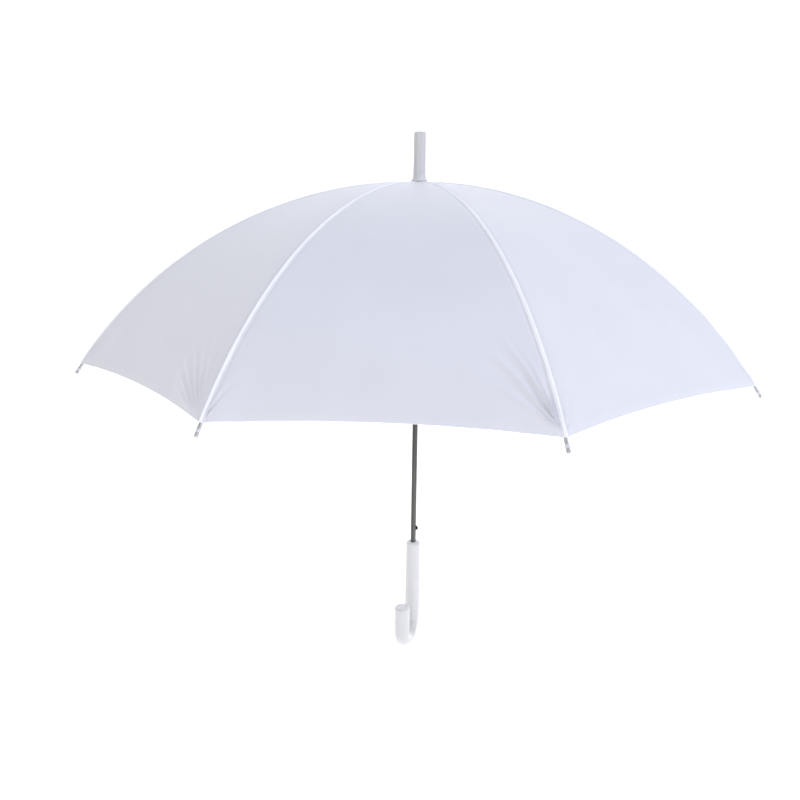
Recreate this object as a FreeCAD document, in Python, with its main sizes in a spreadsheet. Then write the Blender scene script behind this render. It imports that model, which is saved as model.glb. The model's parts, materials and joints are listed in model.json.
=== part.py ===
"""Stick umbrella with eight ribs, open, as a parametric FreeCAD document.

Millimetres, +Z up along the shaft. The origin is on the shaft's axis, at the middle of the handle's
straight grip. The handle's crook points to -Y and the two runner catches point to +X. Rib 1 stands
at rib_phase degrees from +X, and the others follow it anticlockwise, seen from above.

Rib, stretcher and runner form an isosceles triangle on each side of the shaft: the stretcher is as
long as the straight line from the crown pivot to the rib joint, and the crown and the runner carry
their wires on the same radius. That keeps the runner on the shaft at every angle of the ribs.
"""
import FreeCAD
import Part
import math
import os

import Sketcher
from FreeCAD import Placement, Rotation, Vector

RIB_COUNT = 8
HALF_STEP = 180.0 / RIB_COUNT

# Driving dimensions, in millimetres and degrees
DIMENSIONS = {
    # shaft and its cross pins
    "shaft_radius": 4.3,
    "shaft_bore": 3.7,
    "shaft_foot": 8.0,
    "shaft_into_ferrule": 48.0,
    "pin_radius": 1.0,
    "pin_flush": 0.15,
    "handle_pin_height": 44.0,
    "stop_pin_length": 13.0,
    "stop_gap": 0.3,
    "play": 0.05,
    # crown, which carries the ribs
    "crown_height": 648.0,
    "crown_radius": 11.5,
    "crown_above": 1.8,
    "crown_below": 4.6,
    "crown_hub": 13.0,
    "crown_pin_rise": 3.6,
    "pivot_radius": 9.0,
    "wire_radius": 0.45,
    "wire_tunnel": 0.6,
    "slot_width": 3.0,
    "hub_radius": 6.4,
    # ribs: a channel rolled to a round arc
    "rib_arc": 591.8,
    "rib_start": 0.0,
    "rib_end": 55.6,
    "rib_neck": 7.0,
    "neck_overlap": 1.5,
    "rib_width": 2.6,
    "rib_depth": 2.2,
    "sheet": 0.4,
    "eye_radius": 1.5,
    "eye_hole": 0.65,
    "eye_width": 2.0,
    "rib_phase": 22.5,
    # joint between rib and stretcher
    "joint_slope": 25.8,
    "joint_drop": 3.4,
    "clip_length": 6.0,
    "clip_gap": 2.75,
    "clip_sheet": 0.5,
    "clip_skirt": 5.2,
    "rivet_radius": 0.8,
    "rivet_head": 1.3,
    "rivet_head_depth": 0.4,
    # rib tips
    "tip_radius": 2.15,
    "tip_bore": 1.8,
    "tip_overlap": 7.0,
    "tip_beyond": 10.0,
    "tip_knob": 2.45,
    "tip_neck": 4.0,
    "tip_bevel": 1.0,
    "tip_floor": 1.0,
    # stretchers
    "stretcher_width": 2.2,
    "stretcher_depth": 2.0,
    "stretcher_neck": 8.0,
    "stretcher_plate": 1.8,
    "trough_overlap": 1.0,
    # runner
    "runner_head_radius": 11.5,
    "runner_above": 5.0,
    "runner_below": 4.5,
    "runner_sleeve_radius": 7.2,
    "runner_sleeve": 58.0,
    "runner_bore": 4.55,
    "runner_flange_radius": 8.8,
    "runner_flange": 3.0,
    "runner_shoulder": 1.0,
    "runner_neck": 4.0,
    "runner_slot_floor": 2.2,
    "window_drop": 46.0,
    "window_height": 12.0,
    "window_width": 2.8,
    # catches, bent from flat spring steel
    "catch_sheet": 1.6,
    "catch_leg": 36.0,
    "catch_reach": 7.5,
    "catch_nose": 9.5,
    "catch_nose_slope": 4.5,
    "catch_eye": 1.7,
    "catch_foot": 0.7,
    "catch_root": 1.8,
    "catch_back": 2.2,
    "catch_back_drop": 1.0,
    "catch_shoulder": 2.8,
    "catch_slot_width": 2.2,
    "catch_slot_play": 1.5,
    # canopy
    "canopy_lift": 2.4,
    "canopy_sheet": 0.6,
    "canopy_corner": 496.3,
    "canopy_middle": 453.5,
    "canopy_hole": 5.0,
    "canopy_gap": 0.15,
    "canopy_top_slope": 0.3,
    # washer and ferrule on top of the canopy
    "washer_radius": 11.0,
    "washer_depth": 1.2,
    "washer_gap": 0.1,
    "ferrule_length": 70.5,
    "ferrule_straight": 28.0,
    "ferrule_foot_radius": 9.6,
    "ferrule_top_radius": 9.2,
    "ferrule_bore": 4.35,
    "ferrule_flare": 3.2,
    "ferrule_flare_edge": 1.0,
    "ferrule_flare_waist": 0.8,
    "ferrule_flare_middle": 3.7,
    "ferrule_flare_top": 7.5,
    "ferrule_round": 1.6,
    "ferrule_shoulder": 1.2,
    "ferrule_shoulder_drop": 0.4,
    "ferrule_rim": 2.2,
    "ferrule_dish": 3.0,
    "ferrule_dish_depth": 1.4,
    "socket_gap": 0.5,
    # handle
    "grip_length": 135.0,
    "grip_top_radius": 11.6,
    "grip_foot_radius": 12.4,
    "grip_bore": 4.35,
    "grip_bevel": 2.4,
    "crook_arc": 28.0,
    "crook_leg": 43.0,
    "crook_round": 4.0,
    "crook_turn": -12.0,
}

# Cutting tools stand out of the solid by this much, and by more where nothing else is in reach
OVERCUT = 1.0


class Size:
    """A number together with the spreadsheet expression that gives it."""

    def __init__(self, value, text):
        self.value = float(value)
        self.text = text

    def _join(self, other, sign, value):
        text = other.text if isinstance(other, Size) else repr(float(other))
        return Size(value, f"({self.text} {sign} {text})")

    def __add__(self, other):
        return self._join(other, "+", self.value + number(other))

    def __sub__(self, other):
        return self._join(other, "-", self.value - number(other))

    def __mul__(self, other):
        return self._join(other, "*", self.value * number(other))

    def __truediv__(self, other):
        return self._join(other, "/", self.value / number(other))

    def __neg__(self):
        return Size(-self.value, f"(-{self.text})")


def number(size):
    return size.value if isinstance(size, Size) else float(size)


doc = FreeCAD.newDocument("umbrella")
sheet = doc.addObject("Spreadsheet::Sheet", "dims")


def fill_sheet(values):
    """Writes each dimension into its own row and names it."""
    sizes = {}
    for row, (name, value) in enumerate(values.items(), start=1):
        sheet.set(f"A{row}", name)
        sheet.set(f"B{row}", str(value))
        sheet.setAlias(f"B{row}", name)
        sizes[name] = Size(value, f"dims.{name}")
    doc.recompute()
    return sizes


def slope_point(slope, offset=0.0):
    """(radius, height) of a point on the rib's arc, where the rib slopes down by that many degrees.

    offset moves it outward from the arc, along the arc's own normal.
    """
    arc = DIMENSIONS["rib_arc"]
    start = math.radians(DIMENSIONS["rib_start"])
    centre_r = DIMENSIONS["pivot_radius"] - arc * math.sin(start)
    centre_z = DIMENSIONS["crown_height"] - arc * math.cos(start)
    angle = math.radians(slope)
    reach = arc + offset
    return centre_r + reach * math.sin(angle), centre_z + reach * math.cos(angle)


PIVOT = (DIMENSIONS["pivot_radius"], DIMENSIONS["crown_height"])
ARC_CENTRE = slope_point(0.0, -DIMENSIONS["rib_arc"])
JOINT = slope_point(DIMENSIONS["joint_slope"], -DIMENSIONS["joint_drop"])
LINK_LENGTH = math.dist(PIVOT, JOINT)
RING_HEIGHT = 2 * JOINT[1] - PIVOT[1]
CLOSED_RIB_END = 20.0  # from the shaft's axis
rib_end_point = slope_point(DIMENSIONS["rib_end"])
rib_chord = math.dist(PIVOT, rib_end_point)
OPEN_LEAN = math.degrees(math.atan2(rib_end_point[0] - PIVOT[0], PIVOT[1] - rib_end_point[1]))
CLOSED_LEAN = math.degrees(math.asin((CLOSED_RIB_END - PIVOT[0]) / rib_chord))
FOLD = OPEN_LEAN - CLOSED_LEAN
joint_lean = math.atan2(JOINT[0] - PIVOT[0], PIVOT[1] - JOINT[1]) - math.radians(FOLD)
CLOSED_RING_HEIGHT = PIVOT[1] - 2 * LINK_LENGTH * math.cos(joint_lean)
DIMENSIONS["stretcher_length"] = LINK_LENGTH
dim = fill_sheet(DIMENSIONS)


# ------------------------------------------------------------------ helpers

def bind(item, **sizes):
    """Sets properties of an object, each bound to its expression."""
    for name, size in sizes.items():
        setattr(item, name, number(size))
        if isinstance(size, Size):
            item.setExpression(name, size.text)
    return item


def place(item, position=(0, 0, 0), rotation=None):
    item.Placement = Placement(Vector(*position), rotation or Rotation())
    return item


def cylinder(name, radius, height, position=(0, 0, 0), rotation=None):
    made = bind(doc.addObject("Part::Cylinder", name), Radius=radius, Height=height)
    return place(made, position, rotation)


def cone(name, foot, top, height, position=(0, 0, 0)):
    made = bind(doc.addObject("Part::Cone", name), Radius1=foot, Radius2=top, Height=height)
    return place(made, position)


def box(name, length, width, height, position=(0, 0, 0), rotation=None):
    made = bind(doc.addObject("Part::Box", name), Length=length, Width=width, Height=height)
    return place(made, position, rotation)


def ring(name, radius, thickness, height=0.0):
    made = bind(doc.addObject("Part::Torus", name), Radius1=radius, Radius2=thickness)
    return place(made, (0, 0, height))


def cross_cylinder(name, radius, length, height, azimuth):
    """A cylinder that crosses the shaft's axis at a right angle, centred on it."""
    turned = Rotation(Vector(0, 0, 1), azimuth).multiply(Rotation(Vector(0, 1, 0), 90))
    start = turned.multVec(Vector(0, 0, -number(length) / 2))
    return cylinder(name, radius, length, (start.x, start.y, start.z + height), turned)


def fuse(name, pieces):
    made = doc.addObject("Part::MultiFuse", name)
    made.Shapes = pieces
    return made


def cut(name, base, tool):
    made = doc.addObject("Part::Cut", name)
    made.Base = base
    made.Tool = tool
    return made


def group(name, pieces):
    made = doc.addObject("Part::Compound", name)
    made.Links = pieces
    return made


def body_plane(body, role):
    return next(item for item in body.Origin.OriginFeatures if item.Role == role)


def new_sketch(body, name, role):
    sketch = body.newObject("Sketcher::SketchObject", name)
    sketch.AttachmentSupport = [(body_plane(body, role), "")]
    sketch.MapMode = "FlatFace"
    return sketch


def pin_point(sketch, line, end, x, y):
    """Fixes one end of a line at x and y, both bound to the sheet."""
    for kind, size in (("DistanceX", x), ("DistanceY", y)):
        row = sketch.addConstraint(Sketcher.Constraint(kind, -1, 1, line, end, number(size)))
        if isinstance(size, Size):
            sketch.setExpression(f"Constraints[{row}]", size.text)


def polygon(body, name, role, points):
    """A closed sketch with straight sides through the given points."""
    sketch = new_sketch(body, name, role)
    corners = [Vector(number(x), number(y), 0) for x, y in points]
    for n, corner in enumerate(corners):
        sketch.addGeometry(Part.LineSegment(corner, corners[(n + 1) % len(corners)]), False)
    for n in range(len(corners)):
        after = (n + 1) % len(corners)
        sketch.addConstraint(Sketcher.Constraint("Coincident", n, 2, after, 1))
    for n, (x, y) in enumerate(points):
        pin_point(sketch, n, 1, x, y)
    return sketch


def circle(body, name, role, x, y, radius):
    """A sketch of one circle."""
    sketch = new_sketch(body, name, role)
    centre = Vector(number(x), number(y), 0)
    sketch.addGeometry(Part.Circle(centre, Vector(0, 0, 1), number(radius)), False)
    pin_point(sketch, 0, 3, x, y)
    row = sketch.addConstraint(Sketcher.Constraint("Radius", 0, number(radius)))
    if isinstance(radius, Size):
        sketch.setExpression(f"Constraints[{row}]", radius.text)
    return sketch


def pad(body, sketch, length, both_ways=False):
    made = body.newObject("PartDesign::Pad", sketch.Name + "_pad")
    made.Profile = sketch
    made.Midplane = both_ways
    return bind(made, Length=length)


def pocket_through(body, sketch):
    """Cuts the sketch out of the body, both ways."""
    made = body.newObject("PartDesign::Pocket", sketch.Name + "_pocket")
    made.Profile = sketch
    made.Type = "ThroughAll"
    made.Midplane = True
    return made


def revolve(body, sketch, axis, angle=360.0):
    made = body.newObject("PartDesign::Revolution", sketch.Name + "_turn")
    made.Profile = sketch
    made.ReferenceAxis = (sketch, [axis])
    return bind(made, Angle=angle)


def channel(body, name, role, width, depth, middle):
    """A U-shaped section of sheet that opens downward, its middle at that height of the sketch."""
    side, inner = width / 2, width / 2 - dim["sheet"]
    low, high = middle - depth / 2, middle + depth / 2
    floor = high - dim["sheet"]
    points = [(-side, high), (side, high), (side, low), (inner, low)]
    points += [(inner, floor), (-inner, floor), (-inner, low), (-side, low)]
    return polygon(body, name, role, points)


def azimuth_of(number_of_rib):
    return DIMENSIONS["rib_phase"] + 2 * HALF_STEP * (number_of_rib - 1)


def in_rib_plane(number_of_rib, point, slope):
    """Placement in a rib's plane: local X runs along the slope and local Z stands off it."""
    turn = Placement(Vector(0, 0, 0), Rotation(Vector(0, 0, 1), azimuth_of(number_of_rib)))
    lean = Rotation(Vector(0, 1, 0), slope)
    return turn.multiply(Placement(Vector(point[0], 0, point[1]), lean))


# ------------------------------------------------------------------ pieces on the shaft

def catch_heights():
    """Height of the nose of each catch: in the runner's window, open and closed."""
    drop = DIMENSIONS["window_drop"]
    return {"top_catch": RING_HEIGHT - drop, "bottom_catch": CLOSED_RING_HEIGHT - drop}


def stop_height():
    return RING_HEIGHT + DIMENSIONS["runner_above"] + DIMENSIONS["pin_radius"] + DIMENSIONS["stop_gap"]


def crown_pin_height():
    return DIMENSIONS["crown_height"] - DIMENSIONS["crown_hub"] + DIMENSIONS["crown_pin_rise"]


def pin_places():
    """name: (height, azimuth, length) of each pin that crosses the shaft."""
    sunk = dim["pin_flush"] * 2
    places = {
        "crown_pin": (crown_pin_height(), 0.0, dim["hub_radius"] * 2 - sunk),
        "stop_pin": (stop_height(), 90.0, dim["stop_pin_length"]),
        "handle_pin": (
            DIMENSIONS["handle_pin_height"], DIMENSIONS["crook_turn"], dim["grip_top_radius"] * 2 - sunk,
        ),
    }
    for name, height in catch_heights().items():
        foot = height - DIMENSIONS["catch_leg"]
        places[name + "_pin"] = (foot, 90.0, dim["shaft_radius"] * 2 - sunk)
    return places


def make_pins():
    pins = [
        cross_cylinder(name, dim["pin_radius"], length, height, azimuth)
        for name, (height, azimuth, length) in pin_places().items()
    ]
    return group("shaft_pins", pins)


def pin_holes(owner, names):
    """Cylinders that cut the holes for those pins in one piece."""
    places = pin_places()
    radius = dim["pin_radius"] + dim["play"]
    holes = []
    for name in names:
        height, azimuth, length = places[name]
        through = length + 4 * OVERCUT
        holes.append(cross_cylinder(f"{owner}_{name}_hole", radius, through, height, azimuth))
    return holes


def make_shaft():
    foot = DIMENSIONS["shaft_foot"]
    top = DIMENSIONS["crown_height"] + DIMENSIONS["shaft_into_ferrule"]
    outside = cylinder("shaft_outside", dim["shaft_radius"], top - foot, (0, 0, foot))
    through = top - foot + 2 * OVERCUT
    bore = cylinder("shaft_bore_tool", dim["shaft_bore"], through, (0, 0, foot - OVERCUT))
    slots = []
    for name, height in catch_heights().items():
        nose = DIMENSIONS["catch_nose"] / 2 + DIMENSIONS["catch_slot_play"]
        at = (0.0, -DIMENSIONS["catch_slot_width"] / 2, height - nose)
        reach = dim["shaft_radius"] + OVERCUT
        long = dim["catch_nose"] + dim["catch_slot_play"] * 2
        slots.append(box(f"{name}_slot", reach, dim["catch_slot_width"], long, at))
    tools = fuse("shaft_tools", [bore, *slots, *pin_holes("shaft", pin_places())])
    return cut("shaft", outside, tools)


def wire_wheel(name, solid, ring_height, slot_low, slot_high):
    """Cuts the tunnel for the wire out of a solid, then the slots for the ribs."""
    tunnel = ring(f"{name}_tunnel", dim["pivot_radius"], dim["wire_tunnel"], ring_height)
    threaded = cut(f"{name}_threaded", solid, tunnel)
    slots = []
    for n in range(1, RIB_COUNT + 1):
        turned = Rotation(Vector(0, 0, 1), azimuth_of(n))
        corner = Vector(DIMENSIONS["hub_radius"], -DIMENSIONS["slot_width"] / 2, slot_low)
        at = tuple(turned.multVec(corner))
        height = slot_high - slot_low
        slots.append(box(f"{name}_slot_{n}", dim["crown_radius"], dim["slot_width"], height, at, turned))
    return cut(f"{name}_wheel", threaded, group(f"{name}_slots", slots))


def make_crown():
    middle = DIMENSIONS["crown_height"]
    foot, top = middle - DIMENSIONS["crown_below"], middle + DIMENSIONS["crown_above"]
    height = dim["crown_above"] + dim["crown_below"]
    disc = cylinder("crown_disc", dim["crown_radius"], height, (0, 0, foot))
    low = middle - DIMENSIONS["crown_hub"]
    hub = cylinder("crown_hub_bar", dim["hub_radius"], dim["crown_hub"], (0, 0, low))
    solid = fuse("crown_solid", [disc, hub])
    wheel = wire_wheel("crown", solid, middle, foot - OVERCUT, top + OVERCUT)
    sliding = dim["shaft_radius"] + dim["play"]
    through = dim["crown_hub"] + dim["crown_above"] + 2 * OVERCUT
    bore = cylinder("crown_bore", sliding, through, (0, 0, low - OVERCUT))
    return cut("crown", wheel, fuse("crown_tools", [bore, *pin_holes("crown", ["crown_pin"])]))


def make_runner():
    middle = RING_HEIGHT
    head_foot = middle - DIMENSIONS["runner_below"]
    height = dim["runner_above"] + dim["runner_below"]
    head = cylinder("runner_head", dim["runner_head_radius"], height, (0, 0, head_foot))
    foot = middle - DIMENSIONS["runner_sleeve"]
    sleeve = cylinder("runner_tube", dim["runner_sleeve_radius"], dim["runner_sleeve"], (0, 0, foot))
    flange = cylinder(
        "runner_lip", dim["runner_flange_radius"], dim["runner_flange"], (0, 0, foot)
    )
    neck = cone(
        "runner_neck",
        dim["runner_sleeve_radius"],
        dim["runner_head_radius"] - dim["runner_shoulder"],
        dim["runner_neck"],
        (0, 0, head_foot - DIMENSIONS["runner_neck"]),
    )
    solid = fuse("runner_solid", [head, neck, sleeve, flange])
    slot_floor = middle - DIMENSIONS["runner_slot_floor"]
    wheel = wire_wheel("runner", solid, middle, slot_floor, middle + DIMENSIONS["runner_above"] + OVERCUT)
    through = dim["runner_sleeve"] + dim["runner_above"] + 2 * OVERCUT
    bore = cylinder("runner_bore_tool", dim["runner_bore"], through, (0, 0, foot - OVERCUT))
    low = middle - DIMENSIONS["window_drop"] - DIMENSIONS["window_height"] / 2
    at = (0.0, -DIMENSIONS["window_width"] / 2, low)
    reach = dim["runner_sleeve_radius"] + OVERCUT
    window = box("runner_window", reach, dim["window_width"], dim["window_height"], at)
    return cut("runner", wheel, fuse("runner_tools", [bore, window]))


def make_wires():
    crown = ring("crown_wire", dim["pivot_radius"], dim["wire_radius"], PIVOT[1])
    runner = ring("runner_wire", dim["pivot_radius"], dim["wire_radius"], RING_HEIGHT)
    return [crown, runner]


def make_catch(name, height, flat_side_up):
    """A flat spring with an eye on its cross pin, a leg and a nose that stands out of the shaft."""
    body = doc.addObject("PartDesign::Body", name)
    leg, half_nose = dim["catch_leg"], dim["catch_nose"] / 2
    reach, eye = dim["catch_reach"], dim["catch_eye"]
    foot, shoulder, slope = dim["catch_foot"], dim["catch_shoulder"], dim["catch_nose_slope"]
    back = (dim["catch_back"], leg - half_nose - dim["catch_back_drop"])
    corners = [(-foot, 0.0), (foot, 0.0), back]
    corners.append((shoulder, leg - half_nose))
    if flat_side_up:
        corners += [(reach, leg + half_nose - slope), (reach, leg + half_nose)]
    else:
        corners += [(reach, leg - half_nose), (reach, leg - half_nose + slope)]
    corners += [(shoulder, leg + half_nose), (dim["catch_root"], leg + half_nose)]
    outline = polygon(body, name + "_outline", "XZ_Plane", corners)
    pad(body, outline, dim["catch_sheet"], both_ways=True)
    boss = circle(body, name + "_eye", "XZ_Plane", 0.0, 0.0, eye)
    pad(body, boss, dim["catch_sheet"], both_ways=True)
    hole = circle(body, name + "_hole", "XZ_Plane", 0.0, 0.0, dim["pin_radius"] + dim["play"])
    pocket_through(body, hole)
    return place(body, (0, 0, height - DIMENSIONS["catch_leg"]))


# ------------------------------------------------------------------ ribs and stretchers

def make_rib(n):
    """A channel rolled to an arc, with a flat neck and an eye on the crown's wire."""
    body = doc.addObject("PartDesign::Body", f"rib_{n}")
    neck_turn = math.degrees(DIMENSIONS["rib_neck"] / DIMENSIONS["rib_arc"])
    turn = dim["rib_end"] - dim["rib_start"] - neck_turn
    width, depth, middle = dim["rib_width"], dim["rib_depth"], dim["rib_arc"]
    section = channel(body, f"rib_{n}_section", "YZ_Plane", width, depth, middle)
    revolve(body, section, "H_Axis", turn)
    back, front = -dim["rib_neck"], dim["neck_overlap"]
    half = dim["eye_width"] / 2
    corners = [(back, middle - half), (front, middle - half), (front, middle + half), (back, middle + half)]
    neck = polygon(body, f"rib_{n}_neck", "XZ_Plane", corners)
    pad(body, neck, dim["eye_width"], both_ways=True)
    boss = circle(body, f"rib_{n}_eye", "XZ_Plane", back, middle, dim["eye_radius"])
    pad(body, boss, dim["eye_width"], both_ways=True)
    hole = circle(body, f"rib_{n}_hole", "XZ_Plane", back, middle, dim["eye_hole"])
    pocket_through(body, hole)
    body.Placement = in_rib_plane(n, ARC_CENTRE, DIMENSIONS["rib_start"] + neck_turn)
    return body


def make_tip(n):
    """A round cap over the rib's end, with a small knob."""
    body = doc.addObject("PartDesign::Body", f"rib_tip_{n}")
    inner, outer, knob = dim["tip_bore"], dim["tip_radius"], dim["tip_knob"]
    back, front = -dim["tip_overlap"], dim["tip_beyond"]
    neck, bevel, floor = dim["tip_neck"], dim["tip_bevel"], dim["tip_floor"]
    corners = [
        (inner, back), (outer, back), (outer, front - neck), (knob, front - neck + bevel),
        (knob, front - bevel), (knob - bevel, front), (0.0, front), (0.0, floor), (inner, floor),
    ]
    profile = polygon(body, f"rib_tip_{n}_profile", "XZ_Plane", corners)
    revolve(body, profile, "V_Axis")
    end = slope_point(DIMENSIONS["rib_end"])
    body.Placement = in_rib_plane(n, end, DIMENSIONS["rib_end"] + 90.0)
    return body


def make_joint(n):
    """A sheet saddle over the rib, and the rivet that the stretcher turns on."""
    gap, sheet_depth, skirt = dim["clip_gap"], dim["clip_sheet"], dim["clip_skirt"]
    length, play = DIMENSIONS["clip_length"], DIMENSIONS["play"]
    roof = dim["rib_depth"] / 2 + dim["play"]
    width = DIMENSIONS["clip_gap"] / 2 + DIMENSIONS["clip_sheet"]
    drop = DIMENSIONS["clip_skirt"]
    name = f"rib_joint_{n}"
    outer = box(
        name + "_outer", dim["clip_length"], gap + sheet_depth * 2, skirt + sheet_depth + roof,
        (-length / 2, -width, -drop),
    )
    inner = box(
        name + "_inner", dim["clip_length"] + 2 * OVERCUT, gap, skirt + roof + OVERCUT,
        (-length / 2 - OVERCUT, -DIMENSIONS["clip_gap"] / 2, -drop - OVERCUT),
    )
    across = Rotation(Vector(1, 0, 0), 90)
    low = -DIMENSIONS["joint_drop"]
    through = gap + (sheet_depth + OVERCUT) * 2
    hole = cylinder(
        name + "_hole", dim["rivet_radius"] + dim["play"], through, (0, width + OVERCUT, low), across
    )
    saddle = cut(name + "_saddle", outer, fuse(name + "_space", [inner, hole]))
    reach = width + play
    shank_length = gap + (sheet_depth + dim["play"]) * 2
    shank = cylinder(name + "_shank", dim["rivet_radius"], shank_length, (0, reach, low), across)
    depth = DIMENSIONS["rivet_head_depth"]
    heads = [
        cylinder(f"{name}_head_{side}", dim["rivet_head"], dim["rivet_head_depth"], (0, at, low), across)
        for side, at in (("a", reach + depth), ("b", -reach))
    ]
    made = group(name, [saddle, fuse(name + "_rivet", [shank, *heads])])
    made.Placement = in_rib_plane(n, slope_point(DIMENSIONS["joint_slope"]), DIMENSIONS["joint_slope"])
    return made


def make_stretcher(n):
    """A straight channel with an eye at each end, from the runner's wire to the rib's rivet."""
    name = f"stretcher_{n}"
    body = doc.addObject("PartDesign::Body", name)
    length, neck, overlap = dim["stretcher_length"], dim["stretcher_neck"], dim["trough_overlap"]
    depth = dim["stretcher_depth"]
    corners = [(neck, -depth / 2), (length - neck, -depth / 2)]
    corners += [(length - neck, depth / 2), (neck, depth / 2)]
    bar = polygon(body, name + "_bar", "XZ_Plane", corners)
    pad(body, bar, dim["stretcher_width"], both_ways=True)
    low, foot, head = dim["sheet"] - depth / 2, neck - overlap, length - neck + overlap
    trough = [(foot, low), (head, low), (head, depth), (foot, depth)]
    hollow = polygon(body, name + "_trough", "XZ_Plane", trough)
    groove = body.newObject("PartDesign::Pocket", name + "_trough_pocket")
    groove.Profile = hollow
    groove.Midplane = True
    bind(groove, Length=dim["stretcher_width"] - dim["sheet"] * 2)
    half = dim["stretcher_plate"] / 2
    reach = neck + dim["neck_overlap"]
    for label, inner, outer in (("foot", 0.0, reach), ("head", length, length - reach)):
        flat = [(inner, -half), (outer, -half), (outer, half), (inner, half)]
        plate = polygon(body, f"{name}_{label}_neck", "XZ_Plane", flat)
        pad(body, plate, dim["eye_width"], both_ways=True)
        boss = circle(body, f"{name}_{label}_eye", "XZ_Plane", inner, 0.0, dim["eye_radius"])
        pad(body, boss, dim["eye_width"], both_ways=True)
    pocket_through(body, circle(body, name + "_foot_hole", "XZ_Plane", 0.0, 0.0, dim["eye_hole"]))
    rivet = dim["rivet_radius"] + dim["play"]
    pocket_through(body, circle(body, name + "_head_hole", "XZ_Plane", length, 0.0, rivet))
    rise = math.degrees(math.atan2(JOINT[1] - RING_HEIGHT, JOINT[0] - PIVOT[0]))
    body.Placement = in_rib_plane(n, (PIVOT[0], RING_HEIGHT), -rise)
    return body


# ------------------------------------------------------------------ canopy

def make_half_gore(gore, side):
    """Half a cloth gore, from the seam over its rib to the gore's middle line.

    Between two ribs the cloth is straight, so the half gore is the rib's own arc carried sideways.
    side is 1 on the half beside the gore's first rib and -1 on the half beside the next rib.
    """
    half = "left" if side == 1 else "right"
    name = f"canopy_gore_{gore}_{half}"
    rib = gore if side == 1 else gore % RIB_COUNT + 1
    arc_inner = DIMENSIONS["rib_arc"] + DIMENSIONS["canopy_lift"]
    arc_outer = arc_inner + DIMENSIONS["canopy_sheet"]
    reach = DIMENSIONS["canopy_corner"] + 30 * OVERCUT
    half_angle = math.radians(HALF_STEP)
    sine, cosine = math.sin(half_angle), math.cos(half_angle)
    seam, middle = Vector(ARC_CENTRE[0], 0, ARC_CENTRE[1]), Vector(-sine, side * cosine, 0)

    def arc(radius, begin, finish):
        points = []
        for slope in (begin, (begin + finish) / 2, finish):
            angle = math.radians(slope)
            points.append(seam + Vector(radius * math.sin(angle), 0, radius * math.cos(angle)))
        return Part.Arc(*points).toShape()

    begin, finish = DIMENSIONS["canopy_top_slope"], DIMENSIONS["rib_end"] + 4 * OVERCUT
    inner, outer = arc(arc_inner, begin, finish), arc(arc_outer, begin, finish)
    ends = [Part.makeLine(inner.Vertexes[n].Point, outer.Vertexes[n].Point) for n in (0, 1)]
    band = Part.Face(Part.Wire([inner, ends[1], outer.reversed(), ends[0]]))
    strip = band.extrude(middle * (reach * sine))
    gap, hole = DIMENSIONS["canopy_gap"], DIMENSIONS["canopy_hole"]
    edge, inward = Vector(cosine, side * sine, 0), Vector(sine, -side * cosine, 0)
    corners = [Vector(0, side * gap, 0), Vector(reach, side * gap, 0)]
    corners += [edge * reach + inward * gap, inward * gap + edge * (gap / sine)]
    sector = Part.Face(Part.makePolygon([*corners, corners[0]]))
    low = ARC_CENTRE[1]
    sector.translate(Vector(0, 0, low))
    wedge = sector.extrude(Vector(0, 0, 2 * DIMENSIONS["rib_arc"]))
    half_hem = DIMENSIONS["canopy_corner"] * sine
    rise = DIMENSIONS["canopy_corner"] * cosine - DIMENSIONS["canopy_middle"]
    hem_arc = (half_hem**2 + rise**2) / (2 * rise)
    hem_centre = edge * (DIMENSIONS["canopy_middle"] + hem_arc)
    height = 2 * DIMENSIONS["rib_arc"]
    hem = Part.makeCylinder(hem_arc, height, Vector(hem_centre.x, hem_centre.y, low))
    core = Part.makeCylinder(hole, height, Vector(0, 0, low))
    made = doc.addObject("Part::Feature", name)
    made.Shape = strip.common(wedge).cut(hem).cut(core)
    made.Placement = Placement(Vector(0, 0, 0), Rotation(Vector(0, 0, 1), azimuth_of(rib)))
    return made


# ------------------------------------------------------------------ ferrule and handle

def apex_height():
    """Top of the cloth at the shaft."""
    rise = DIMENSIONS["canopy_lift"] + DIMENSIONS["canopy_sheet"]
    return ARC_CENTRE[1] + DIMENSIONS["rib_arc"] + rise


def make_washer():
    at = apex_height() + DIMENSIONS["washer_gap"]
    disc = cylinder("washer_disc", dim["washer_radius"], dim["washer_depth"], (0, 0, at))
    sliding, through = dim["shaft_radius"] + dim["play"], dim["washer_depth"] + 2 * OVERCUT
    return cut("canopy_washer", disc, cylinder("washer_bore", sliding, through, (0, 0, at - OVERCUT)))


def make_ferrule():
    body = doc.addObject("PartDesign::Body", "ferrule")
    foot = apex_height() + DIMENSIONS["washer_gap"] + DIMENSIONS["washer_depth"]
    socket = dim["crown_height"] + dim["shaft_into_ferrule"] + dim["socket_gap"] - foot
    length, top, bore = dim["ferrule_length"], dim["ferrule_top_radius"], dim["ferrule_bore"]
    wide, flare = dim["ferrule_foot_radius"], dim["ferrule_flare"]
    rounding, dish = dim["ferrule_round"], dim["ferrule_dish"]
    straight, floor = length - dim["ferrule_straight"] - rounding, length - dim["ferrule_dish_depth"]
    corners = [
        (bore, 0.0), (wide + flare, 0.0), (wide + flare, dim["ferrule_flare_edge"]),
        (wide + dim["ferrule_flare_waist"], dim["ferrule_flare_middle"]), (wide, dim["ferrule_flare_top"]),
        (top, straight), (top, length - rounding),
        (top - dim["ferrule_shoulder"], length - dim["ferrule_shoulder_drop"]),
        (top - dim["ferrule_rim"], length),
        (top - dish, floor), (0.0, floor), (0.0, socket), (bore, socket),
    ]
    revolve(body, polygon(body, "ferrule_profile", "XZ_Plane", corners), "V_Axis")
    return place(body, (0, 0, foot))


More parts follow.
